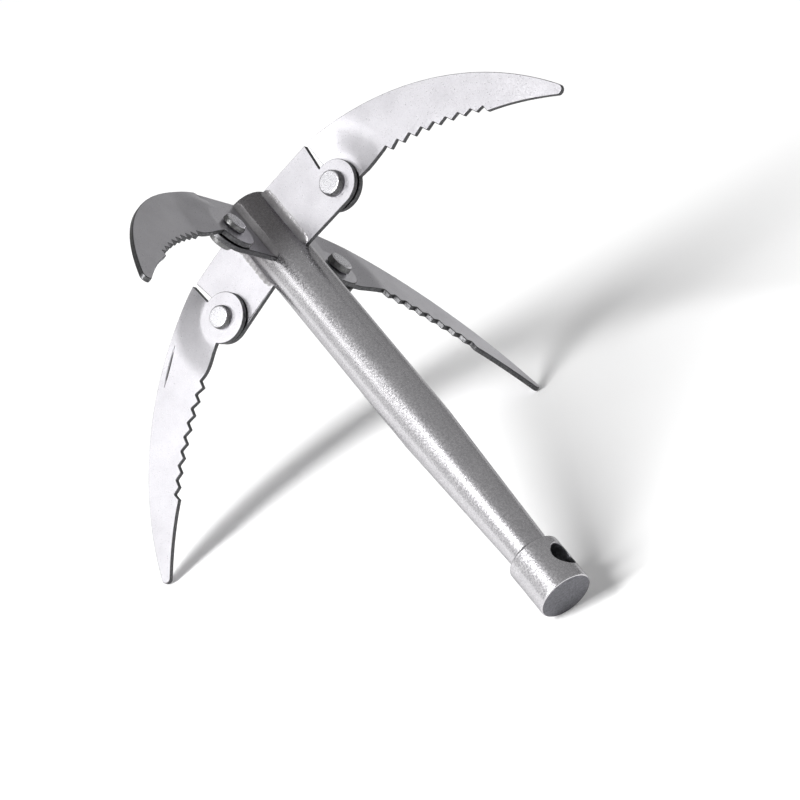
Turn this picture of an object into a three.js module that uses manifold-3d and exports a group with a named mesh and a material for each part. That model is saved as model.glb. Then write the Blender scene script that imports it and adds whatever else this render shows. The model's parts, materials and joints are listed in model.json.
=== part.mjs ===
// A folding grapnel anchor with four hooked, serrated blades: millimetres, +Z up.
// It lies as it rests on a floor, on the tips of the two lower blades and on the rim of its rope eye,
// with the eye end towards -Y. The origin is the middle of its footprint.
import * as THREE from "three";
import { mergeVertices } from "three/addons/utils/BufferGeometryUtils.js";
import Module from "manifold-3d";

const wasm = await Module();
wasm.setup();

// Shank, a solid turned bar. Stations run along its axis from the rivets towards the rope eye.
const SHANK_RADIUS = 10;
const HEAD_STATION = -23.8;
const TAPER_STATION = 98;
const NECK_RADIUS = 7.5;
const EYE_STATION = 163.2;
const EYE_END_STATION = 183.2;
const EYE_RADIUS = 10;
const EYE_EDGE = 0.7;
const ROPE_HOLE_RADIUS = 4.9;
const ROPE_HOLE_STATION = 172.2;
const ROPE_HOLE_AZIMUTH = 5.5;
const SHANK_SIDES = 48;

// Sheet parts: the ears welded to the shank, and the blades.
const PLATE = 2;
const PIVOT_RADIUS = 33;
const EAR_TONGUE_RADIUS = 9.4;
const BLADE_TONGUE_RADIUS = 9.8;
const TONGUE_GAP = 0.8;
const SHOULDER_GAP = 1;
const SPINE_RADIUS = 122.5;
const TIP_RADIUS = 2;
const TEETH = 9;
const JOGGLE_START = 11.5;
const JOGGLE_END = 21.4;

// Rivets, washers and welds.
const PIN_RADIUS = 2.5;
const PIN_HOLE_RADIUS = 2.7;
const FACE_GAP = 0.2;
const WELD_GAP = 0.25;
const WELD_LEG = 2.2;
const WELD_START = -22.6;
const WELD_END = 6;

// Where each claw stands round the shank, and how far its blade is turned from the drawn open place.
// Both are in degrees. The ears are welded and the stops ground by hand, so no two are quite alike.
const CLAWS = [
  { azimuth: 0, turn: 0.3 },
  { azimuth: 89.1, turn: 0.1 },
  { azimuth: 179.8, turn: 1.4 },
  { azimuth: 270.3, turn: -1.8 },
];
const STANDING_BLADES = ["blade_3", "blade_4"];

const SATIN = { color: 0xc9cacd, roughness: 0.5, metalness: 0.9 };
const TURNED = { color: 0xa9a8ab, roughness: 0.42, metalness: 0.95 };
const WELD_METAL = { color: 0x8d8b8c, roughness: 0.6, metalness: 0.9 };
const RIVET_METAL = { color: 0xb9b9bc, roughness: 0.45, metalness: 0.95 };

// A closed three.js geometry as a manifold-3d solid.
function solidOf(geometry) {
  const bare = geometry.clone();
  bare.deleteAttribute("normal");
  bare.deleteAttribute("uv");
  const merged = mergeVertices(bare, 1e-4);
  return new wasm.Manifold(
    new wasm.Mesh({
      numProp: 3,
      vertProperties: new Float32Array(merged.attributes.position.array),
      triVerts: new Uint32Array(merged.index.array),
    }),
  );
}

// The solid's vertices and triangles as a three.js geometry.
function geometryOf(solid) {
  const { vertProperties, triVerts } = solid.getMesh();
  const geometry = new THREE.BufferGeometry();
  geometry.setAttribute("position", new THREE.BufferAttribute(vertProperties, 3));
  geometry.setIndex(new THREE.BufferAttribute(triVerts, 1));
  const faceted = geometry.toNonIndexed();
  faceted.computeVertexNormals();
  return faceted;
}

function named(name, geometry, finish) {
  const mesh = new THREE.Mesh(geometry, new THREE.MeshStandardMaterial(finish));
  mesh.name = name;
  return mesh;
}

// A closed outline revolved about the Y axis.
function turned(profile, sides) {
  const points = profile.map(([radius, height]) => new THREE.Vector2(radius, height));
  return new THREE.LatheGeometry(points, sides);
}

// The same with its axis along Z, as a rivet or a washer stands in a claw.
function turnedAlongZ(profile, sides) {
  return turned(profile, sides).rotateX(Math.PI / 2);
}

// An outline in the XY plane, given its thickness between two heights along Z.
function plate(shape, low, high, curveSegments) {
  const options = { depth: high - low, bevelEnabled: false, curveSegments };
  return new THREE.ExtrudeGeometry(shape, options).translate(0, 0, low);
}

// The bar: a chamfered head, a straight stretch, a taper to the neck, and the collar with the rope eye.
function makeShank() {
  const bar = turned(
    [
      [0, HEAD_STATION],
      [SHANK_RADIUS - EYE_EDGE, HEAD_STATION],
      [SHANK_RADIUS, HEAD_STATION + EYE_EDGE],
      [SHANK_RADIUS, TAPER_STATION],
      [NECK_RADIUS, EYE_STATION],
      [EYE_RADIUS - EYE_EDGE, EYE_STATION],
      [EYE_RADIUS, EYE_STATION + EYE_EDGE],
      [EYE_RADIUS, EYE_END_STATION - EYE_EDGE],
      [EYE_RADIUS - EYE_EDGE, EYE_END_STATION],
      [0, EYE_END_STATION],
    ],
    SHANK_SIDES,
  );
  const drill = new THREE.CylinderGeometry(ROPE_HOLE_RADIUS, ROPE_HOLE_RADIUS, 4 * EYE_RADIUS, 32)
    .rotateZ(Math.PI / 2)
    .rotateY(THREE.MathUtils.degToRad(ROPE_HOLE_AZIMUTH))
    .translate(0, ROPE_HOLE_STATION, 0);
  return named("shank", geometryOf(solidOf(bar).subtract(solidOf(drill))), TURNED);
}

// In a claw, X is the distance from the shank's axis, Y the station along it, and Z the rivet's axis.
// A blade folds by turning about +Z. The ear's outline runs out along the head's edge, down the
// shoulder that stops the blade, round the tongue, and back along the straight edge to the shank.
const EAR_SHOULDER = [33.9, -21.4];
const EAR_EYE_STATION = 7.2;
const EAR_TONGUE_ANGLES = [-94, 96];

function earOutline() {
  const inner = SHANK_RADIUS + WELD_GAP;
  const [start, end] = EAR_TONGUE_ANGLES.map(THREE.MathUtils.degToRad);
  const shape = new THREE.Shape();
  shape.moveTo(inner, HEAD_STATION + EYE_EDGE);
  shape.lineTo(...EAR_SHOULDER);
  shape.absarc(PIVOT_RADIUS, 0, EAR_TONGUE_RADIUS, start, end, false);
  shape.lineTo(inner, EAR_EYE_STATION);
  return shape;
}

function makeEar(name) {
  const sheet = solidOf(plate(earOutline(), -PLATE / 2, PLATE / 2, 20));
  const drill = pinHole().translate(PIVOT_RADIUS, 0, 0);
  return named(name, geometryOf(sheet.subtract(solidOf(drill))), SATIN);
}

// The blade's outline, measured from its rivet: the spine's arc, the round tip, the plain edge,
// the teeth, the heel and the round tongue. The teeth's valleys lie on one arc, and from each one
// a short step runs out to a crest, and a long slope runs back to the next.
const SPINE_CENTRE = [-25.7, 97.6];
const TIP_ANGLE = -23.3;
const EDGE_END_ANGLE = 125;
const VALLEY_CENTRE = [-26.4, 132.8];
const VALLEY_RADIUS = 135.3;
const FIRST_VALLEY = -68.05;
const TOOTH_PITCH = 2.3;
const TOOTH_STEP = [0.9, 3.05];
const LAST_CREST = [61.1, 32.7];
const HEEL_ANGLE = 30;
const SHOULDER_ANGLE = -87;

function bladeOutline() {
  const rad = THREE.MathUtils.degToRad;
  const shoulder = EAR_SHOULDER[0] + SHOULDER_GAP - PIVOT_RADIUS;
  const spineStart = Math.asin((shoulder - SPINE_CENTRE[0]) / SPINE_RADIUS) - Math.PI / 2;
  const tipX = SPINE_CENTRE[0] + (SPINE_RADIUS - TIP_RADIUS) * Math.cos(rad(TIP_ANGLE));
  const tipY = SPINE_CENTRE[1] + (SPINE_RADIUS - TIP_RADIUS) * Math.sin(rad(TIP_ANGLE));
  const shape = new THREE.Shape();
  shape.absarc(...SPINE_CENTRE, SPINE_RADIUS, spineStart, rad(TIP_ANGLE), false);
  shape.absarc(tipX, tipY, TIP_RADIUS, rad(TIP_ANGLE), rad(EDGE_END_ANGLE), false);
  shape.quadraticCurveTo(72.2, 39.7, ...LAST_CREST);
  for (let tooth = TEETH - 1; tooth >= 0; tooth--) {
    const angle = rad(FIRST_VALLEY + TOOTH_PITCH * tooth);
    const x = VALLEY_CENTRE[0] + VALLEY_RADIUS * Math.cos(angle);
    const y = VALLEY_CENTRE[1] + VALLEY_RADIUS * Math.sin(angle);
    if (tooth < TEETH - 1) shape.lineTo(x + TOOTH_STEP[0], y + TOOTH_STEP[1]);
    shape.lineTo(x, y);
  }
  shape.bezierCurveTo(21, 7.8, 17, 7.2, 12.5, 6);
  shape.absarc(0, 0, BLADE_TONGUE_RADIUS, rad(HEEL_ANGLE), rad(SHOULDER_ANGLE), false);
  return shape;
}

// The blade lies in one plane with its ear, and its tongue is set to one side, behind the ear's.
// A dished disc about the rivet carries both levels, and the outline is cut from it.
function makeBlade(name) {
  const half = PLATE / 2;
  const offset = PLATE + TONGUE_GAP;
  const reach = 130;
  const dish = turnedAlongZ(
    [
      [0, offset - half],
      [JOGGLE_START, offset - half],
      [JOGGLE_END, -half],
      [reach, -half],
      [reach, half],
      [JOGGLE_END, half],
      [JOGGLE_START, offset + half],
      [0, offset + half],
    ],
    SHANK_SIDES,
  );
  const outline = plate(bladeOutline(), -PLATE, 3 * PLATE, 24);
  const blank = solidOf(outline).intersect(solidOf(dish));
  return named(name, geometryOf(blank.subtract(solidOf(pinHole()))), SATIN);
}

function pinHole() {
  const length = 10 * PLATE;
  return new THREE.CylinderGeometry(PIN_HOLE_RADIUS, PIN_HOLE_RADIUS, length, 32).rotateX(Math.PI / 2);
}

// The rivet stands through both tongues, its large head on the ear and its small head on the blade.
function makeRivet(name) {
  const earFace = -PLATE / 2 - FACE_GAP;
  const bladeFace = 1.5 * PLATE + TONGUE_GAP + FACE_GAP;
  const profile = [
    [0, earFace - 3],
    [4.3, earFace - 3],
    [4.8, earFace - 2.4],
    [5.1, earFace],
    [PIN_RADIUS, earFace],
    [PIN_RADIUS, bladeFace],
    [4.8, bladeFace],
    [4.1, bladeFace + 2.1],
    [3.6, bladeFace + 2.5],
    [0, bladeFace + 2.5],
  ];
  return named(name, turnedAlongZ(profile, 32), RIVET_METAL);
}

// A thin washer keeps the two tongues apart.
function makeWasher(name) {
  const low = PLATE / 2 + FACE_GAP;
  const high = PLATE / 2 + TONGUE_GAP - FACE_GAP;
  const profile = [
    [PIN_HOLE_RADIUS, low],
    [6.5, low],
    [6.5, high],
    [PIN_HOLE_RADIUS, high],
    [PIN_HOLE_RADIUS, low],
  ];
  return named(name, turnedAlongZ(profile, 32), TURNED);
}

// A fillet weld in the corner between one face of an ear and the shank, on the side +1 or -1 along Z.
function makeWeld(name, side) {
  const round = SHANK_RADIUS + WELD_GAP;
  const face = PLATE / 2 + WELD_GAP;
  const onShank = (height) => Math.sqrt(round * round - height * height);
  const section = new THREE.Shape();
  section.moveTo(onShank(face), side * face);
  section.lineTo(round + WELD_LEG, side * face);
  const bulge = 0.6 * WELD_LEG;
  const top = face + WELD_LEG;
  section.quadraticCurveTo(round + bulge, side * (face + bulge), onShank(top), side * top);
  const bead = plate(section, WELD_START, WELD_END, 4).rotateX(-Math.PI / 2);
  return named(name, bead, WELD_METAL);
}

function makeClaw(number, { azimuth, turn }) {
  const claw = new THREE.Group();
  claw.rotation.y = THREE.MathUtils.degToRad(azimuth);
  claw.add(makeEar(`ear_${number}`));
  claw.add(makeWeld(`weld_${number}_a`, 1), makeWeld(`weld_${number}_b`, -1));
  const pivot = new THREE.Group();
  pivot.position.x = PIVOT_RADIUS;
  const blade = makeBlade(`blade_${number}`);
  blade.rotation.z = THREE.MathUtils.degToRad(turn);
  pivot.add(blade, makeRivet(`rivet_${number}`), makeWasher(`washer_${number}`));
  claw.add(pivot);
  return claw;
}

// The anchor stands on the lowest point of each standing blade and of the shank's eye end.
// Each round takes the plane through the three lowest points as the floor, until they stay the same.
function restingUp(anchor) {
  anchor.updateMatrixWorld(true);
  const corners = [...STANDING_BLADES, "shank"].map((name) => {
    const mesh = anchor.getObjectByName(name);
    const positions = mesh.geometry.getAttribute("position");
    return Array.from({ length: positions.count }, (_, i) =>
      new THREE.Vector3().fromBufferAttribute(positions, i).applyMatrix4(mesh.matrixWorld),
    );
  });
  const lowest = (points, up) => points.reduce((a, b) => (b.dot(up) < a.dot(up) ? b : a));
  let up = new THREE.Vector3(1, -1, -1).normalize();
  for (let round = 0; round < 10; round++) {
    const [a, b, c] = corners.map((points) => lowest(points, up));
    const normal = b.clone().sub(a).cross(c.clone().sub(a)).normalize();
    up = normal.dot(up) < 0 ? normal.negate() : normal;
  }
  return up;
}

// Turns the anchor from its own frame, with the eye end towards +Y, to the way it lies on the floor.
function laidOnFloor(anchor) {
  const up = restingUp(anchor);
  const eye = new THREE.Vector3(0, 1, 0);
  const back = eye.clone().addScaledVector(up, -eye.dot(up)).normalize().negate();
  const right = back.clone().cross(up);
  const toFloor = new THREE.Matrix4().makeBasis(right, back, up).transpose();
  anchor.quaternion.setFromRotationMatrix(toFloor);
  const laid = new THREE.Group().add(anchor);
  const box = new THREE.Box3().setFromObject(laid, true);
  const middle = box.getCenter(new THREE.Vector3());
  laid.position.set(-middle.x, -middle.y, -box.min.z);
  return laid;
}

const anchor = new THREE.Group().add(makeShank());
CLAWS.forEach((claw, i) => anchor.add(makeClaw(i + 1, claw)));

export default laidOnFloor(anchor);
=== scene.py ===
"""A folding grapnel anchor in blasted stainless steel, lying on a pale studio floor.

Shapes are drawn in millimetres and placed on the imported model's own joints and eye end.
"""

import json
import math

import bpy
import numpy as np
from mathutils import Matrix, Vector, geometry, noise


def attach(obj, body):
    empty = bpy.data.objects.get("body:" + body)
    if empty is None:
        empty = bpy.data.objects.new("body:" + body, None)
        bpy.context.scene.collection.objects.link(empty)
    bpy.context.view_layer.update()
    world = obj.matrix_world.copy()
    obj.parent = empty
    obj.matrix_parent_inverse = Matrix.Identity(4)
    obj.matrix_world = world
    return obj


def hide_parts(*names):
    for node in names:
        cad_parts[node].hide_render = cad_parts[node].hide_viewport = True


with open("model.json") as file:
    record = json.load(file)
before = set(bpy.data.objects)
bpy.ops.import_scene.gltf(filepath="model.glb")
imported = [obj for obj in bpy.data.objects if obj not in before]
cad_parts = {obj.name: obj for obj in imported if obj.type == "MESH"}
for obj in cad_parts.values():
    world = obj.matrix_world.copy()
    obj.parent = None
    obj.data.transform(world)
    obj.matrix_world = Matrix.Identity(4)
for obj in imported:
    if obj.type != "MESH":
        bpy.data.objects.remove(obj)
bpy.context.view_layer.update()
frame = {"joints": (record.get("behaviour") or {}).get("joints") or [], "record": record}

MM = 0.001

# Shank: a turned bar. Stations run along its axis from the rivets towards the rope eye.
SHANK_RADIUS = 10
HEAD_STATION = -23.8
TAPER_STATION = 98
NECK_RADIUS = 7.5
EYE_STATION = 163.2
EYE_END_STATION = 183.2
EYE_RADIUS = 10
COLLAR_SHOULDER = (0.4, 0.5)
HEAD_EDGE_ROUND = 0.9
EYE_EDGE_ROUND = 0.7
END_SHADE_POWER = 8
ROPE_HOLE_RADIUS = 4.9
ROPE_HOLE_SOFTENING = 0.5
ROPE_HOLE_STATION = 172.2
ROPE_HOLE_AZIMUTH = 5.5

# Sheet parts.
PLATE = 2
EAR_TONGUE_RADIUS = 9.4
BLADE_TONGUE_RADIUS = 9.8
TONGUE_GAP = 0.8
SHOULDER_GAP = 1
EAR_SHOULDER = (33.9, -21.4)
EAR_EYE_STATION = 7.2
EAR_TONGUE_ANGLES = (-94, 96)
EAR_SINK = 0.4
EDGE_ROUND = 0.32
CORNER_ROUND = 0.45
JOGGLE_START = 10
JOGGLE_END = 27

# Blade outline, measured from its rivet.
SPINE_CENTRE = (-25.7, 97.6)
SPINE_RADIUS = 122.5
TIP_RADIUS = 2
TIP_ANGLE = -23.3
EDGE_END_ANGLE = 125
EDGE_MIDDLE = (72.2, 39.7)
LAST_CREST = (61.1, 32.7)
TEETH = 9
VALLEY_CENTRE = (-26.4, 132.8)
VALLEY_RADIUS = 135.3
FIRST_VALLEY = -68.05
TOOTH_PITCH = 2.3
TOOTH_STEP = (0.9, 3.05)
HEEL_CURVE = ((21, 7.8), (17, 7.2), (12.5, 6))
HEEL_ANGLE = 30
SHOULDER_ANGLE = -87
OPEN_STOP = -1.8

# The nail nick in the spine of one blade: its two ends, its width, its depth and the painted shade along its
# bottom.
NICKED_BLADE = 3
NICK_ENDS = ((22.2, -12.3), (38.1, -3.4))
NICK_WIDTH = 1.3
NICK_DEPTH = 0.55
NICK_SHADE = 0.12

# Rivets, washers and welds.
PIN_RADIUS = 2.5
PIN_HOLE_RADIUS = 2.7
FACE_GAP = 0.2
EAR_HEAD_RADII = (4.55, 5.1)
EAR_HEAD_HEIGHT = 3
BLADE_HEAD_RADII = (4.1, 4.8)
BLADE_HEAD_HEIGHT = 2.5
HEAD_ROUND = 0.7
HEAD_SIDE_SHADE = 1.6
WASHER_RADIUS = 6.5
WASHER_ROUND = 0.1
WELD_START = -22.9
WELD_END = 6.8
WELD_RADIUS = 3.2
WELD_PITCH = 2.4
PLAIN_RIPPLE = 0.06
WELD_RIPPLE = {"weld_3_a": 0.3}

# Between the two tongues both faces carry painted shade inside this radius, with a ring of points on each
# side of it.
GAP_SHADE_RADIUS = 9.6
GAP_SHADE_RINGS = (9.3, 9.9)

# Painted shade, where the ears block the light at the bar's head, darkens the bar to this share of its
# colour up to the first station, and has faded out by the second.
HEAD_SHADE_START = -6
HEAD_SHADE_END = 20
HEAD_SHADE_TONE = (0.36, 0.35, 0.35)

ROUND_SIDES = 160
RIVET_SIDES = 72
MOUTH_SIDES = 72
ARC_STEP = 0.6

# The steel's finish: noise in features per metre, the depth of a cut edge's tears in millimetres, and the
# value of cut at which a surface is all cut edge.
CLOUD_SCALE = 70
SPECK_SCALE = 2100
BAR_SPECK_SCALE = 1500
PIT_SCALE = 4300
TORN_SCALE = 1300
TORN_DEPTH = 0.06
CUT_FULL = 0.10


# ---------------------------------------------------------------- outlines

def arc(centre, radius, start, end, step=ARC_STEP):
    """Points along an arc, both ends included. Angles are in degrees."""
    count = max(3, math.ceil(abs(math.radians(end - start)) * radius / step))
    angles = np.radians(np.linspace(start, end, count + 1))
    return [(centre[0] + radius * math.cos(a), centre[1] + radius * math.sin(a)) for a in angles]


def bezier(points, steps):
    """Points along a Bezier curve of any degree, both ends included."""
    curve = []
    for t in np.linspace(0, 1, steps + 1):
        level = [np.array(p, float) for p in points]
        while len(level) > 1:
            level = [a * (1 - t) + b * t for a, b in zip(level, level[1:])]
        curve.append(tuple(level[0]))
    return curve


def without_repeats(points):
    """The closed outline without points that lie on the one before."""
    return [p for p, q in zip(points, points[1:] + points[:1]) if math.dist(p, q) > 1e-4]


def rounded(points, radius, closed=True, least_turn=20, steps=5):
    """The outline with an arc at each corner that turns by more than least_turn degrees."""
    result = []
    count = len(points)
    for i, corner in enumerate(points):
        if not closed and i in (0, count - 1):
            result.append(corner)
            continue
        here = Vector(corner)
        before = Vector(points[i - 1]) - here
        after = Vector(points[(i + 1) % count]) - here
        turn = math.pi - before.angle(after)
        if math.degrees(turn) < least_turn:
            result.append(corner)
            continue
        wanted = radius * math.tan(turn / 2)
        cut = min(wanted, 0.45 * before.length, 0.45 * after.length)
        ends = (here + before.normalized() * cut, here + after.normalized() * cut)
        result += bezier([ends[0], here.lerp(ends[0], 0.42), here.lerp(ends[1], 0.42), ends[1]], steps)
    return result


def edge_normals(points, closed=True):
    """Each edge's length and its normal on the right of the way round."""
    points = np.array(points, float)
    ahead = np.roll(points, -1, 0) if closed else np.vstack([points[1:], points[-1:]])
    along = ahead - points
    length = np.linalg.norm(along, axis=1)
    length[length == 0] = 1e-12
    return length, np.column_stack([along[:, 1], -along[:, 0]]) / length[:, None]


def shading_normals(points, closed=True):
    """A normal at each point, in which a long edge outweighs a short one, so that flats stay flat."""
    length, normal = edge_normals(points, closed)
    weighted = normal * length[:, None]
    total = weighted + np.roll(weighted, 1, 0)
    if not closed:
        total[0] = weighted[0]
        total[-1] = weighted[-2]
    return total / np.linalg.norm(total, axis=1)[:, None]


def inset(points, distance):
    """The closed outline moved to the left of its way round, which is into the material."""
    points = np.array(points, float)
    _, normal = edge_normals(points)
    before = np.roll(normal, 1, 0)
    middle = normal + before
    share = np.sum(middle * middle, axis=1) / 2
    return points - middle / share[:, None] * distance


def inside(points, loops):
    """Which points lie inside the loops, by the even-odd rule."""
    points = np.array(points, float)
    odd = np.zeros(len(points), bool)
    for loop in loops:
        a = np.array(loop, float)
        b = np.roll(a, -1, 0)
        for (x0, y0), (x1, y1) in zip(a, b):
            crosses = (points[:, 1] < y0) != (points[:, 1] < y1)
            if y0 != y1:
                at = x0 + (points[:, 1] - y0) * (x1 - x0) / (y1 - y0)
                odd ^= crosses & (points[:, 0] < at)
    return odd


def clear_of(points, loops, margin):
    """Which points are at least margin from every corner of the loops."""
    corners = np.vstack([np.array(loop, float) for loop in loops])
    away = np.ones(len(points), bool)
    for i, p in enumerate(np.array(points, float)):
        away[i] = np.min(np.sum((corners - p) ** 2, axis=1)) > margin * margin
    return away


def triangles(loops, extra=(), lines=()):
    """Points and triangles that fill the loops. The points are the loops' own, in order, then extra."""
    points = [tuple(p) for loop in loops for p in loop] + [tuple(p) for p in extra]
    edges = list(lines)
    start = 0
    for loop in loops:
        edges += [(start + i, start + (i + 1) % len(loop)) for i in range(len(loop))]
        start += len(loop)
    found = geometry.delaunay_2d_cdt([Vector(p) for p in points], edges, [], 0, 1e-7)
    source = [origin[0] for origin in found[3]]
    corners = [[source[i] for i in face] for face in found[2]]
    middles = [np.mean([points[i] for i in face], axis=0) for face in corners]
    kept = inside(middles, loops)
    return points, [face for face, keep in zip(corners, kept) if keep]


# ---------------------------------------------------------------- meshes

class Skin:
    """Vertices with their own shading normals and faces, gathered into one closed mesh.

    cut is 1 where a surface is as dark and rough as a cut edge, and 0 where it is blasted. Its darkness is
    partly painted
    shade: over the sheets' rounded edges, in the gap between the tongues, in the rope hole's bore, on the
    rivet heads' sides and in the nail nick, and on the bar's end face it is a painted reflection of the
    shadowed floor. faceted holds the faces that are shaded flat, rings the rows of a turned piece, and
    head_shade tells how much painted shade a point has at the bar's head.
    """

    def __init__(self):
        self.points = []
        self.normals = []
        self.cut = []
        self.faces = []
        self.faceted = set()
        self.rings = []
        self.head_shade = None

    def row(self, points, normals, cut=0.0):
        start = len(self.points)
        self.points += [tuple(p) for p in points]
        self.normals += [tuple(n) for n in normals]
        self.cut += [cut] * len(points)
        return list(range(start, len(self.points)))

    def band(self, first, second, closed=True):
        """Quads between two rows of as many vertices."""
        count = len(first)
        for i in range(count if closed else count - 1):
            j = (i + 1) % count
            self.faces.append((first[i], first[j], second[j], second[i]))

    def fan(self, row, centre, normal):
        middle = self.row([centre], [normal])[0]
        for i in range(len(row)):
            self.faces.append((row[i], row[(i + 1) % len(row)], middle))

    def mirror_faces(self):
        self.faces = [tuple(reversed(face)) for face in self.faces]

    def piece(self, name, place, material, body, replaced, slot):
        """The finished object, riding on its body in place of its CAD node."""
        used = sorted({i for face in self.faces for i in face})
        place_of = {old: new for new, old in enumerate(used)}
        points = [self.points[i] for i in used]
        mesh = bpy.data.meshes.new(name)
        mesh.from_pydata(points, [], [tuple(place_of[i] for i in face) for face in self.faces])
        attribute = mesh.attributes.new("cut", "FLOAT", "POINT")
        attribute.data.foreach_set("value", [self.cut[i] for i in used])
        if self.head_shade:
            attribute = mesh.attributes.new("painted_shade", "FLOAT", "POINT")
            attribute.data.foreach_set("value", [self.head_shade(p) for p in points])
        mesh.transform(place)
        turn = place.to_3x3().normalized()
        normals = [(turn @ Vector(self.normals[i])).normalized() for i in used]
        corners = []
        for face in mesh.polygons:
            own = face.normal.copy()
            for vertex in face.vertices:
                corners.append(own if face.index in self.faceted else normals[vertex])
        mesh.polygons.foreach_set("use_smooth", [True] * len(mesh.polygons))
        mesh.normals_split_custom_set(corners)
        mesh.materials.append(material)
        made = bpy.data.objects.new(name, mesh)
        bpy.context.scene.collection.objects.link(made)
        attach(made, body)
        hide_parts(replaced)
        return made


def revolved(profile, sides=ROUND_SIDES, closed=False):
    """A profile of (radius, height) turned about Z. It runs so that the material is on its left."""
    skin = Skin()
    normals = shading_normals(profile, closed)
    angles = [2 * math.pi * i / sides for i in range(sides)]
    rows = []
    for (radius, height), (nr, nz) in zip(profile, normals):
        if radius < 1e-6:
            rows.append(None)
            continue
        points = [(radius * math.cos(a), radius * math.sin(a), height) for a in angles]
        slopes = [(nr * math.cos(a), nr * math.sin(a), nz) for a in angles]
        rows.append(skin.row(points, slopes))
    skin.rings = rows
    count = len(profile)
    for i in range(count if closed else count - 1):
        first, second = rows[i], rows[(i + 1) % count]
        if first is None:
            centre = (0, 0, profile[i][1])
            skin.fan(list(reversed(second)), centre, (0, 0, -1))
        elif second is None:
            centre = (0, 0, profile[(i + 1) % count][1])
            skin.fan(first, centre, (0, 0, 1))
        else:
            skin.band(first, second)
    return skin


def sheet(loops, level, slope, extra, gap_side, nick=False):
    """A sheet of PLATE thickness with rounded edges. The first loop runs anticlockwise, holes clockwise.

    level gives the middle's height at a point and slope its gradient. gap_side is the face that meets
    the other tongue, which carries painted shade there. nick says whether the nail nick is cut into the top.
    """
    skin = Skin()
    steps = np.radians(np.linspace(0, 90, 5))
    half = PLATE / 2
    rims = {1: [], -1: []}
    for loop in loops:
        sideways = shading_normals(loop)
        rows = []
        for side in (-1, 1):
            order = steps if side == 1 else steps[::-1]
            for a in order:
                ring = inset(loop, EDGE_ROUND * (1 - math.cos(a)))
                rise = side * (half - EDGE_ROUND + EDGE_ROUND * math.sin(a))
                points = [(x, y, rise + level(x, y)) for x, y in ring]
                out, up = math.cos(a), side * math.sin(a)
                slopes = []
                for (x, y), (nx, ny) in zip(ring, sideways):
                    gx, gy = slope(x, y)
                    slopes.append((nx * out - gx * up, ny * out - gy * up, up))
                # The wall has a cut edge's own rough, torn finish; its darkness, which runs over the
                # rounding, is partly painted shade that outlines the sheet.
                rows.append(skin.row(points, slopes, 1 - math.sin(a)))
        for first, second in zip(rows, rows[1:]):
            skin.band(first, second)
        rims[-1].append(rows[0])
        rims[1].append(rows[-1])
    for side in (-1, 1):
        outlines = [[skin.points[i][:2] for i in rim] for rim in rims[side]]
        points, lines, bottom = list(extra), [], []
        if nick and side == 1:
            points, lines, bottom = nick_points(points, outlines)
        placed, faces = triangles(outlines, points, lines)
        known = [i for rim in rims[side] for i in rim]
        start = sum(len(outline) for outline in outlines)
        rise = [side * half - (NICK_DEPTH if i in bottom else 0) for i in range(start, len(placed))]
        new = placed[start:]
        heights = [(x, y, level(x, y) + h) for (x, y), h in zip(new, rise)]
        slopes = [(-side * slope(x, y)[0], -side * slope(x, y)[1], side) for x, y in new]
        known += skin.row(heights, slopes)
        # The nick's bottom carries painted shade.
        for i in bottom:
            skin.cut[known[i]] = NICK_SHADE
        # Painted shade on the face that meets the other tongue.
        for i in known:
            if side == gap_side and math.hypot(*skin.points[i][:2]) < GAP_SHADE_RADIUS:
                skin.cut[i] = 1.0
        for face in faces:
            if any(i in bottom for i in face):
                skin.faceted.add(len(skin.faces))
            corners = [known[i] for i in face]
            skin.faces.append(tuple(corners if side == 1 else reversed(corners)))
    return skin


def nick_points(extra, outlines):
    """The lens of the nail nick: its rim, the line along its bottom, and the edges that hold both."""
    first, last = (np.array(p, float) for p in NICK_ENDS)
    along = last - first
    across = np.array([-along[1], along[0]]) / np.linalg.norm(along)
    steps = 24
    rim = []
    for side in (1, -1):
        for i in range(steps):
            t = i / steps if side == 1 else 1 - i / steps
            rim.append(first + along * t + side * across * NICK_WIDTH / 2 * math.sin(math.pi * t))
    bottom = [first + along * i / steps for i in range(2, steps - 1)]
    keep = clear_of(extra, [rim], NICK_WIDTH)
    extra = [p for p, kept in zip(extra, keep) if kept]
    start = sum(len(outline) for outline in outlines)
    lines = [(start + i, start + (i + 1) % len(rim)) for i in range(len(rim))]
    low = start + len(rim)
    lines += [(low + i, low + i + 1) for i in range(len(bottom) - 1)]
    return rim + bottom + extra, lines, set(range(low, low + len(bottom)))


# ---------------------------------------------------------------- frames

eye_end = next(m for m in frame["record"]["mounts"] if m["name"] == "eye_end")
shank_axis = Vector(eye_end["axis"]).normalized()
eye_centre = Vector(eye_end["pos_m"])
joints = {joint["child"]: joint for joint in frame["joints"]}
axis_start = eye_centre - shank_axis * EYE_END_STATION * MM


def basis(x, y, z, origin):
    """Millimetres along x, y and z from the origin, as metres in the row frame."""
    turn = Matrix((x, y, z)).transposed().to_4x4()
    return Matrix.Translation(origin) @ turn @ Matrix.Scale(MM, 4)


def claw_frame(number):
    """A claw's place: X out from the shank, Y towards the rope eye, Z along the hinge, from the rivet."""
    joint = joints[f"blade_{number}"]
    z = Vector(joint["axis"]).normalized()
    y = (shank_axis - z * shank_axis.dot(z)).normalized()
    return basis(y.cross(z), y, z, Vector(joint["pos_m"]))


def pivot_radius(number):
    """How far a rivet stands from the shank's axis, in millimetres."""
    out = Vector(joints[f"blade_{number}"]["pos_m"]) - axis_start
    return (out - shank_axis * out.dot(shank_axis)).length / MM


def shank_frame():
    """The shank's place: Z towards the rope eye, and X out to the first claw."""
    first = claw_frame(1)
    x = (first.to_3x3() @ Vector((1, 0, 0))).normalized()
    return basis(x, shank_axis.cross(x), shank_axis, axis_start)


# ---------------------------------------------------------------- materials

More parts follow.
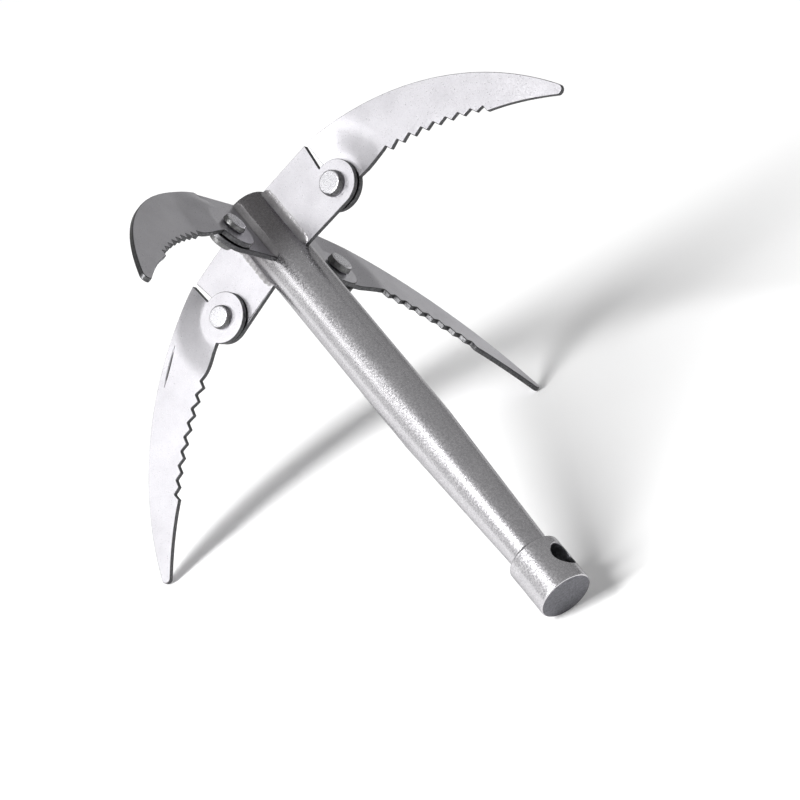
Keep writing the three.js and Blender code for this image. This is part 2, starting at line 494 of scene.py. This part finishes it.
class Nodes:
    """Short calls for one material's nodes."""

    def __init__(self, name):
        self.material = bpy.data.materials.new(name)
        self.material.use_nodes = True
        self.tree = self.material.node_tree
        self.shader = self.tree.nodes["Principled BSDF"]
        self.place = self.add("ShaderNodeTexCoord").outputs["Object"]

    def add(self, kind, **settings):
        node = self.tree.nodes.new(kind)
        for key, value in settings.items():
            setattr(node, key, value)
        return node

    def link(self, output, target):
        self.tree.links.new(output, target)

    def noise(self, scale, detail=2.0, rough=0.5):
        """Noise over the object, with its scale in features per metre."""
        node = self.add("ShaderNodeTexNoise")
        node.inputs["Scale"].default_value = scale
        node.inputs["Detail"].default_value = detail
        node.inputs["Roughness"].default_value = rough
        self.link(self.place, node.inputs["Vector"])
        return node.outputs["Fac"]

    def spread(self, value, low, high, low_to, high_to):
        node = self.add("ShaderNodeMapRange")
        self.link(value, node.inputs["Value"])
        ends = {"From Min": low, "From Max": high, "To Min": low_to, "To Max": high_to}
        for key, number in ends.items():
            node.inputs[key].default_value = number
        return node.outputs["Result"]

    def math(self, operation, a, b):
        node = self.add("ShaderNodeMath", operation=operation)
        for socket, value in zip(node.inputs, (a, b)):
            if isinstance(value, (int, float)):
                socket.default_value = value
            else:
                self.link(value, socket)
        return node.outputs[0]

    def mix(self, share, a, b):
        """A mix of two colours, each a socket or a grey-blue triple."""
        node = self.add("ShaderNodeMix", data_type="RGBA")
        self.link(share, node.inputs["Factor"])
        for socket, value in zip((node.inputs["A"], node.inputs["B"]), (a, b)):
            if isinstance(value, tuple):
                socket.default_value = (*value, 1)
            else:
                self.link(value, socket)
        return node.outputs["Result"]

    def paint_shade(self, colour):
        """The base colour, darkened by painted shade where the mesh says so by its attribute of that name.
        """
        share = self.add("ShaderNodeAttribute", attribute_name="painted_shade").outputs["Fac"]
        painted_shade = self.add("ShaderNodeMix", data_type="RGBA", blend_type="MULTIPLY")
        self.link(share, painted_shade.inputs["Factor"])
        self.link(colour, painted_shade.inputs["A"])
        painted_shade.inputs["B"].default_value = (*HEAD_SHADE_TONE, 1)
        self.link(painted_shade.outputs["Result"], self.shader.inputs["Base Color"])

    def bump(self, height, distance, strength=1.0, under=None):
        node = self.add("ShaderNodeBump")
        node.inputs["Strength"].default_value = strength
        node.inputs["Distance"].default_value = distance
        self.link(height, node.inputs["Height"])
        if under:
            self.link(under, node.inputs["Normal"])
        return node.outputs["Normal"]


def blasted_steel(name, light, dark, rough, grain=0.06, cut=None, edge_tint=0.8,
                  speck_scale=SPECK_SCALE, cloudy=0.55):
    """Bead-blasted stainless, with a fine grain and faint cloudiness, darker and coarser where cut is 1,
    where part of the darkness is painted shade.
    """
    n = Nodes(name)
    n.shader.inputs["Metallic"].default_value = 1
    n.shader.inputs["Specular Tint"].default_value = (edge_tint, edge_tint, edge_tint, 1)
    cloud = n.noise(CLOUD_SCALE, 3, 0.6)
    speck = n.noise(speck_scale, 2, 0.6)
    pits = n.noise(PIT_SCALE, 1, 0.5)
    tone = n.math("ADD", n.math("MULTIPLY", cloud, cloudy), n.math("MULTIPLY", speck, 1 - cloudy))
    colour = n.mix(n.spread(tone, 0.38, 0.62, 0, 1), dark, light)
    roughness = n.spread(speck, 0.3, 0.7, rough - 0.04, rough + 0.05)
    relief = n.bump(n.math("ADD", n.math("MULTIPLY", pits, 0.5), speck), grain * MM)
    if cut:
        share = n.add("ShaderNodeAttribute", attribute_name="cut").outputs["Fac"]
        edge = n.spread(share, 0, CUT_FULL, 0, 1)
        torn = n.noise(TORN_SCALE, 4, 0.75)
        edge_colour = n.mix(n.spread(torn, 0.35, 0.65, 0, 1), cut[0], cut[1])
        colour = n.mix(edge, colour, edge_colour)
        roughness = n.math("ADD", roughness, n.math("MULTIPLY", edge, 0.12))
        relief = n.bump(n.math("MULTIPLY", torn, edge), TORN_DEPTH * MM, 0.8, relief)
    n.paint_shade(colour)
    n.link(roughness, n.shader.inputs["Roughness"])
    n.link(relief, n.shader.inputs["Normal"])
    return n.material


SHEET = blasted_steel("blasted_sheet", (0.67, 0.66, 0.69), (0.58, 0.57, 0.60), 0.31, grain=0.015,
                      cut=((0.05, 0.05, 0.052), (0.13, 0.13, 0.134)))
BAR = blasted_steel("turned_bar", (0.70, 0.69, 0.71), (0.54, 0.53, 0.55), 0.25, grain=0.03,
                    cut=((0.13, 0.13, 0.14), (0.24, 0.24, 0.26)), edge_tint=0.5, speck_scale=BAR_SPECK_SCALE,
                    cloudy=0.2)
HEADS = blasted_steel("rivet_heads", (0.72, 0.715, 0.74), (0.60, 0.595, 0.62), 0.28, grain=0.02,
                      cut=((0.10, 0.10, 0.10), (0.22, 0.22, 0.22)))
BEADS = blasted_steel("weld_beads", (0.52, 0.51, 0.52), (0.34, 0.33, 0.34), 0.34)
# The washers' dark colour is painted shade: it stands for the shade in the gap between the tongues.
WASHERS = blasted_steel("washers", (0.20, 0.20, 0.20), (0.12, 0.12, 0.12), 0.40)


# ---------------------------------------------------------------- shank

def mouth(azimuth, radius, depth, angles):
    """A ring where the rope hole meets the collar, at its own radius and below the surface by depth."""
    across = radius * np.cos(angles)
    height = ROPE_HOLE_STATION + radius * np.sin(angles)
    out = np.sqrt(EYE_RADIUS ** 2 - across ** 2) - depth
    c, s = math.cos(azimuth), math.sin(azimuth)
    return np.column_stack([out * c - across * s, out * s + across * c, height])


def painted_head_shade(point):
    """How much painted shade the bar has at a point, where the ears block the light: 1 at its head, fading
    to 0.
    """
    t = min(1, max(0, (point[2] - HEAD_SHADE_START) / (HEAD_SHADE_END - HEAD_SHADE_START)))
    return 1 - t * t * (3 - 2 * t)


def make_shank():
    """The bar with its taper and collar, and the rope hole with softened mouths."""
    low, high = EYE_STATION + 2.4, EYE_END_STATION - 1.6
    end = EYE_END_STATION
    lower = [(0, HEAD_STATION), (SHANK_RADIUS, HEAD_STATION), (SHANK_RADIUS, TAPER_STATION)]
    before, after = COLLAR_SHOULDER
    lower += [(NECK_RADIUS, EYE_STATION - before), (EYE_RADIUS, EYE_STATION + after), (EYE_RADIUS, low)]
    lower = rounded(lower, HEAD_EDGE_ROUND, closed=False, least_turn=8, steps=8)
    after_head = next(i for i, p in enumerate(lower) if p[1] > HEAD_STATION + 1)
    lower[after_head:after_head] = [(SHANK_RADIUS, h) for h in range(-20, 80, 4)]
    upper = [(EYE_RADIUS, high), (EYE_RADIUS, end), (0, end)]
    upper = rounded(upper, EYE_EDGE_ROUND, closed=False, steps=8)
    skin = revolved(lower)
    first_ring = skin.rings[-1]
    cap = revolved(upper)
    shift = len(skin.points)
    skin.points += cap.points
    skin.normals += cap.normals
    skin.cut += cap.cut
    skin.faces += [tuple(i + shift for i in face) for face in cap.faces]
    last_ring = [i + shift for i in cap.rings[0]]

    # Between the two rings the collar's side is filled round both mouths, laid flat and wrapped back.
    azimuth = math.radians(ROPE_HOLE_AZIMUTH)
    angles = np.linspace(0, 2 * math.pi, MOUTH_SIDES, endpoint=False)
    soften = ROPE_HOLE_SOFTENING
    wide = ROPE_HOLE_RADIUS + soften
    sweep = 2 * math.pi / ROUND_SIDES
    seam = round((azimuth + math.pi / 2) / sweep)
    order = [(seam + i) % ROUND_SIDES for i in range(ROUND_SIDES)]
    start = seam * sweep

    def flat(turn, height):
        return (turn * EYE_RADIUS, height)

    border = [flat(start + i * sweep, low) for i in range(ROUND_SIDES + 1)]
    border += [flat(start + i * sweep, high) for i in range(ROUND_SIDES, -1, -1)]
    known = [first_ring[i] for i in order] + [first_ring[order[0]]]
    known += [last_ring[i] for i in [order[0]] + order[::-1]]
    loops = [border]
    for side in (0, 1):
        turn = azimuth + math.pi + side * math.pi
        lean = np.arcsin(wide * np.cos(-angles) / EYE_RADIUS)
        loops.append([flat(turn + w, ROPE_HOLE_STATION + wide * math.sin(-a))
                      for w, a in zip(lean, angles)])
        ring = mouth(turn, wide, 0, -angles)
        known += skin.row(ring, ring * (1, 1, 0) / EYE_RADIUS)
    grid = [flat(start + (i + 0.5) * 0.16, low + 1.4 + j * 1.6) for i in range(39) for j in range(9)]
    grid = [p for p, ok in zip(grid, inside(grid, loops) & clear_of(grid, loops, 0.9)) if ok]
    placed, faces = triangles(loops, grid)
    base = len(placed) - len(grid)
    wrapped = [(EYE_RADIUS * math.cos(x / EYE_RADIUS), EYE_RADIUS * math.sin(x / EYE_RADIUS), y)
               for x, y in placed[base:]]
    known += skin.row(wrapped, [(x / EYE_RADIUS, y / EYE_RADIUS, 0) for x, y, _ in wrapped])
    skin.faces += [tuple(known[i] for i in face) for face in faces]

    # Each mouth rounds over into the bore, and the bore runs from one to the other.
    rows = {0: [], 1: []}
    for side in (0, 1):
        turn = azimuth + math.pi + side * math.pi
        first = len(border) + side * len(angles)
        rows[side].append(known[first:first + len(angles)])
        out = np.array([math.cos(turn), math.sin(turn), 0])
        across = np.array([-math.sin(turn), math.cos(turn), 0])
        inward = -(np.cos(-angles)[:, None] * across + np.sin(-angles)[:, None] * np.array([0, 0, 1]))
        for bend in np.radians(np.linspace(22.5, 90, 4)):
            radius = ROPE_HOLE_RADIUS + soften * (1 - math.sin(bend))
            ring = mouth(turn, radius, soften * (1 - math.cos(bend)), -angles)
            rows[side].append(skin.row(ring, inward * math.sin(bend) + out * math.cos(bend)))
        for first, second in zip(rows[side], rows[side][1:]):
            skin.band(second, first)
    facing = [rows[1][-1][(len(angles) // 2 - i) % len(angles)] for i in range(len(angles))]
    skin.band(facing, rows[0][-1])
    # The bar's head carries painted shade where the ears block the light.
    skin.head_shade = painted_head_shade
    # The bore's inner rings carry painted shade, as dark as a cut edge.
    darken = rows[0][-1] + rows[1][-1] + rows[0][-2] + rows[1][-2]
    for i in darken:
        skin.cut[i] = 1.0
    # The end face gets a cut face's rough, torn finish, and its darkness is a painted reflection of the
    # shadowed floor below it.
    for i, (point, normal) in enumerate(zip(skin.points, skin.normals)):
        if point[2] > EYE_END_STATION - 0.05:
            skin.cut[i] = max(0.0, normal[2]) ** END_SHADE_POWER
    return skin.piece("shank_bar", shank_frame(), BAR, "shank", "shank", "turned_bar")


# ---------------------------------------------------------------- claws

def circle(radius, steps=48):
    """A hole's outline, clockwise."""
    return arc((0, 0), radius, 360, 0, 2 * math.pi * radius / steps)[:-1]


def make_ear(number):
    """A claw's ear, welded to the shank, with its tongue and its stop shoulder."""
    pivot = pivot_radius(number)
    inner = SHANK_RADIUS - EAR_SINK - pivot
    shoulder = (EAR_SHOULDER[0] - pivot, EAR_SHOULDER[1])
    outline = [(inner, HEAD_STATION + 0.5), shoulder]
    outline += arc((0, 0), EAR_TONGUE_RADIUS, *EAR_TONGUE_ANGLES)
    outline += [(inner, EAR_EYE_STATION)]
    loops = [rounded(without_repeats(outline), CORNER_ROUND), circle(PIN_HOLE_RADIUS)]
    border = [p for radius in GAP_SHADE_RINGS for p in arc((0, 0), radius, 90, 270, 1.2)]
    keep = inside(border, loops) & clear_of(border, loops, 0.3)
    extra = [p for p, kept in zip(border, keep) if kept]
    skin = sheet(loops, lambda x, y: 0.0, lambda x, y: (0.0, 0.0), extra, 1)
    name = f"ear_{number}"
    return skin.piece(f"{name}_plate", claw_frame(number), SHEET, "shank", name, "satin_sheet")


def blade_outline():
    """The blade's outline: the spine, the round tip, the plain edge, the teeth, the heel and the tongue."""
    shoulder = EAR_SHOULDER[0] + SHOULDER_GAP - pivot_radius(1)
    start = math.degrees(math.asin((shoulder - SPINE_CENTRE[0]) / SPINE_RADIUS)) - 90
    along = math.radians(TIP_ANGLE)
    tip = (SPINE_CENTRE[0] + (SPINE_RADIUS - TIP_RADIUS) * math.cos(along),
           SPINE_CENTRE[1] + (SPINE_RADIUS - TIP_RADIUS) * math.sin(along))
    outline = arc(SPINE_CENTRE, SPINE_RADIUS, start, TIP_ANGLE, 1.3)
    outline += arc(tip, TIP_RADIUS, TIP_ANGLE, EDGE_END_ANGLE, 0.3)
    outline += bezier([outline[-1], EDGE_MIDDLE, LAST_CREST], 26)
    for tooth in range(TEETH - 1, -1, -1):
        angle = math.radians(FIRST_VALLEY + TOOTH_PITCH * tooth)
        x = VALLEY_CENTRE[0] + VALLEY_RADIUS * math.cos(angle)
        y = VALLEY_CENTRE[1] + VALLEY_RADIUS * math.sin(angle)
        if tooth < TEETH - 1:
            outline.append((x + TOOTH_STEP[0], y + TOOTH_STEP[1]))
        outline.append((x, y))
    outline += bezier([outline[-1], *HEEL_CURVE], 16)
    outline += arc((0, 0), BLADE_TONGUE_RADIUS, HEEL_ANGLE, SHOULDER_ANGLE + 360)
    return rounded(without_repeats(outline), CORNER_ROUND)


def joggle(x, y):
    """The height of the blade's middle: its tongue is set behind the ear, the rest is in its plane."""
    t = min(1, max(0, (math.hypot(x, y) - JOGGLE_START) / (JOGGLE_END - JOGGLE_START)))
    return (PLATE + TONGUE_GAP) * (1 - t * t * (6 - 8 * t + 3 * t * t))


def joggle_slope(x, y):
    """The gradient of the blade's middle."""
    away = math.hypot(x, y)
    t = min(1, max(0, (away - JOGGLE_START) / (JOGGLE_END - JOGGLE_START)))
    fall = -(PLATE + TONGUE_GAP) * 12 * t * (1 - t) ** 2 / (JOGGLE_END - JOGGLE_START)
    return (fall * x / away, fall * y / away) if away > 0 else (0.0, 0.0)


def blade_grid(loops):
    """Points inside the blade: rings over the joggle, and an even grid over the rest."""
    rings = [p for k in range(24) for p in arc((0, 0), JOGGLE_START - 0.3 + 0.75 * k, -120, 60, 1.2)]
    spacing = 2.6
    grid = [(x * spacing + (y % 2) * spacing / 2, y * spacing * 0.87 - 30)
            for x in range(-6, 36) for y in range(42)]
    grid = [p for p in grid if math.hypot(*p) > JOGGLE_END + 1]
    both = rings + grid
    keep = inside(both, loops) & clear_of(both, loops, 0.75)
    return [p for p, kept in zip(both, keep) if kept]


def make_blade(number):
    """A hooked blade with its joggled tongue, turned to the place it rests in."""
    loops = [blade_outline(), circle(PIN_HOLE_RADIUS)]
    skin = sheet(loops, joggle, joggle_slope, blade_grid(loops), -1, number == NICKED_BLADE)
    name = f"blade_{number}"
    turn = OPEN_STOP - joints[name]["range_deg"][0]
    place = claw_frame(number) @ Matrix.Rotation(math.radians(turn), 4, "Z")
    return skin.piece(f"{name}_sheet", place, SHEET, name, name, "satin_sheet")


def make_rivet(number):
    """The rivet: a broad low head on the ear and a narrower one on the blade."""
    ear_face = -PLATE / 2 - FACE_GAP
    blade_face = 1.5 * PLATE + TONGUE_GAP + FACE_GAP
    ear_top = ear_face - EAR_HEAD_HEIGHT
    blade_top = blade_face + BLADE_HEAD_HEIGHT
    profile = [(0, ear_top), (EAR_HEAD_RADII[0], ear_top), (EAR_HEAD_RADII[1], ear_face)]
    profile += [(PIN_RADIUS, ear_face), (PIN_RADIUS, blade_face), (BLADE_HEAD_RADII[1], blade_face)]
    profile += [(BLADE_HEAD_RADII[0], blade_top), (0, blade_top)]
    skin = revolved(rounded(profile, HEAD_ROUND, closed=False, steps=6), RIVET_SIDES)
    # The heads' sides carry painted shade, as dark as a cut edge.
    skin.cut = [max(0.0, 1 - HEAD_SIDE_SHADE * abs(normal[2])) for normal in skin.normals]
    name = f"rivet_{number}"
    return skin.piece(f"{name}_heads", claw_frame(number), HEADS, "shank", name, "rivet")


def make_washer(number):
    """The thin washer between the two tongues."""
    low, high = PLATE / 2 + FACE_GAP, PLATE / 2 + TONGUE_GAP - FACE_GAP
    profile = [(PIN_HOLE_RADIUS, low), (WASHER_RADIUS, low)]
    profile += [(WASHER_RADIUS, high), (PIN_HOLE_RADIUS, high)]
    skin = revolved(rounded(profile, WASHER_ROUND), RIVET_SIDES, closed=True)
    name = f"washer_{number}"
    return skin.piece(f"{name}_ring", claw_frame(number), WASHERS, "shank", name, "washer")


def surface_normals(grid):
    """Normals of a grid of points, from its own slopes both ways."""
    normals = np.cross(np.gradient(grid, axis=1), np.gradient(grid, axis=0))
    return normals / np.maximum(np.linalg.norm(normals, axis=2), 1e-9)[:, :, None]


def make_weld(number, letter):
    """A hollow fillet bead in the corner of ear and shank, laid in overlapping scallops."""
    name = f"weld_{number}_{letter}"
    side = 1 if letter == "a" else -1
    ripple = WELD_RIPPLE.get(name, PLAIN_RIPPLE)
    across, along = 16, 150
    grid = np.zeros((along + 1, across + 1, 3))
    for i in range(along + 1):
        t = i / along
        station = WELD_START + (WELD_END - WELD_START) * t
        from_end = min(t, 1 - t) * (WELD_END - WELD_START)
        reach = 0.25 + 0.75 * math.sqrt(min(1, from_end / 2))
        wander = noise.noise(Vector((station * 0.3, number * 7.3, side * 3.1)))
        rough = max(0.15, 0.7 + 1.3 * noise.noise(Vector((station * 0.45, number * 3.7, side * 9.1))))
        for j in range(across + 1):
            u = j / across
            phase = (station + 0.9 * (2 * u - 1) ** 2 + 1.4 * wander) / WELD_PITCH
            scallop = (abs(math.sin(math.pi * phase)) ** 0.6 - 0.6) * rough
            radius = WELD_RADIUS * reach * (1 + 0.12 * wander + ripple * scallop)
            high = PLATE / 2 + radius
            out = math.sqrt((SHANK_RADIUS + radius) ** 2 - high ** 2)
            angle = u * (math.pi / 2 - math.atan2(high, out)) + math.pi / 2
            rise = 0.5 * ripple * scallop * math.sin(math.pi * u)
            x = out + (radius - rise) * math.cos(angle)
            z = high - (radius - rise) * math.sin(angle)
            grid[i, j] = (x - pivot_radius(number), station, side * z)
    normals = surface_normals(grid) * -side
    skin = Skin()
    rows = []
    for points, slopes in zip(grid, normals):
        root = (SHANK_RADIUS - 0.9 - pivot_radius(number), points[0][1], side * (PLATE / 2 - 0.5))
        rows.append(skin.row([*points, root], [*slopes, (0, 0, side)]))
    for first, second in zip(rows, rows[1:]):
        skin.band(first, second)
    skin.faces.append(tuple(reversed(rows[0])))
    skin.faces.append(tuple(rows[-1]))
    if side == 1:
        skin.mirror_faces()
    return skin.piece(f"{name}_bead", claw_frame(number), BEADS, "shank", name, "weld_bead")


# ---------------------------------------------------------------- stage, lights and camera

def plain(name, colour, rough, glow):
    material = bpy.data.materials.new(name)
    material.use_nodes = True
    shader = material.node_tree.nodes["Principled BSDF"]
    shader.inputs["Base Color"].default_value = (*colour, 1)
    shader.inputs["Roughness"].default_value = rough
    shader.inputs["Specular IOR Level"].default_value = 0.1
    shader.inputs["Emission Color"].default_value = (1, 1, 1, 1)
    shader.inputs["Emission Strength"].default_value = glow
    return material


def make_floor():
    mesh = bpy.data.meshes.new("floor")
    reach = 2.4
    corners = [(-reach, -reach, 0), (reach, -reach, 0), (reach, reach, 0), (-reach, reach, 0)]
    mesh.from_pydata(corners, [], [(0, 1, 2, 3)])
    mesh.materials.append(plain("pale_floor", (0.92, 0.92, 0.92), 0.9, 0.02))
    floor = bpy.data.objects.new("floor", mesh)
    bpy.context.scene.collection.objects.link(floor)


def softbox(name, place, aim, size, watts):
    light = bpy.data.lights.new(name, "AREA")
    light.shape = "RECTANGLE"
    light.size, light.size_y = size
    light.energy = watts
    lamp = bpy.data.objects.new(name, light)
    lamp.location = place
    lamp.rotation_mode = "QUATERNION"
    lamp.rotation_quaternion = (Vector(aim) - Vector(place)).to_track_quat("-Z", "Y")
    bpy.context.scene.collection.objects.link(lamp)


def make_world(bright_side, darkest, brightest):
    """Soft surroundings that fade from the bright side of the room to the one across from it."""
    world = bpy.data.worlds.new("studio")
    world.use_nodes = True
    nodes, links = world.node_tree.nodes, world.node_tree.links
    place = nodes.new("ShaderNodeTexCoord")
    towards = nodes.new("ShaderNodeVectorMath")
    towards.operation = "DOT_PRODUCT"
    towards.inputs[1].default_value = Vector(bright_side).normalized()
    fade = nodes.new("ShaderNodeMapRange")
    for key, number in zip(("From Min", "From Max", "To Min", "To Max"), (-1, 1, darkest, brightest)):
        fade.inputs[key].default_value = number
    background = nodes["Background"]
    background.inputs["Color"].default_value = (1, 1, 1, 1)
    links.new(place.outputs["Generated"], towards.inputs[0])
    links.new(towards.outputs["Value"], fade.inputs["Value"])
    links.new(fade.outputs["Result"], background.inputs["Strength"])
    bpy.context.scene.world = world


CAMERA_PLACE = (-0.3939, -0.9516, 0.5300)
CAMERA_AIM = (0.0055, 0.0117, 0.0498)
CAMERA_ROLL = -16.6
CAMERA_LENS = 143.34


def make_camera():
    data = bpy.data.cameras.new("camera")
    data.lens = CAMERA_LENS
    data.sensor_width = 36
    data.clip_start = 0.01
    camera = bpy.data.objects.new("camera", data)
    place = Vector(CAMERA_PLACE)
    look = (Vector(CAMERA_AIM) - place).to_track_quat("-Z", "Y").to_matrix()
    turn = look @ Matrix.Rotation(math.radians(CAMERA_ROLL), 3, "Z")
    camera.matrix_world = Matrix.Translation(place) @ turn.to_4x4()
    bpy.context.scene.collection.objects.link(camera)
    bpy.context.scene.camera = camera


make_camera()
make_floor()
make_world(bright_side=(-0.8, -0.3, 0.5), darkest=0.33, brightest=0.38)
softbox("key", place=(-3.54, -1.08, 2.55), aim=(0, 0, 0.04), size=(0.82, 2.60), watts=335)
softbox("side", place=(-0.93, 0.42, 0.72), aim=(0, 0, 0.04), size=(0.14, 0.36), watts=0.42)
softbox("wall", place=(-1.5, 1.15, 0.4), aim=(0, 0, 0.1), size=(1.7, 0.8), watts=1.7)
bpy.context.scene.view_settings.view_transform = "Standard"

make_shank()
for claw in range(1, 5):
    make_ear(claw)
    make_blade(claw)
    make_rivet(claw)
    make_washer(claw)
    make_weld(claw, "a")
    make_weld(claw, "b")
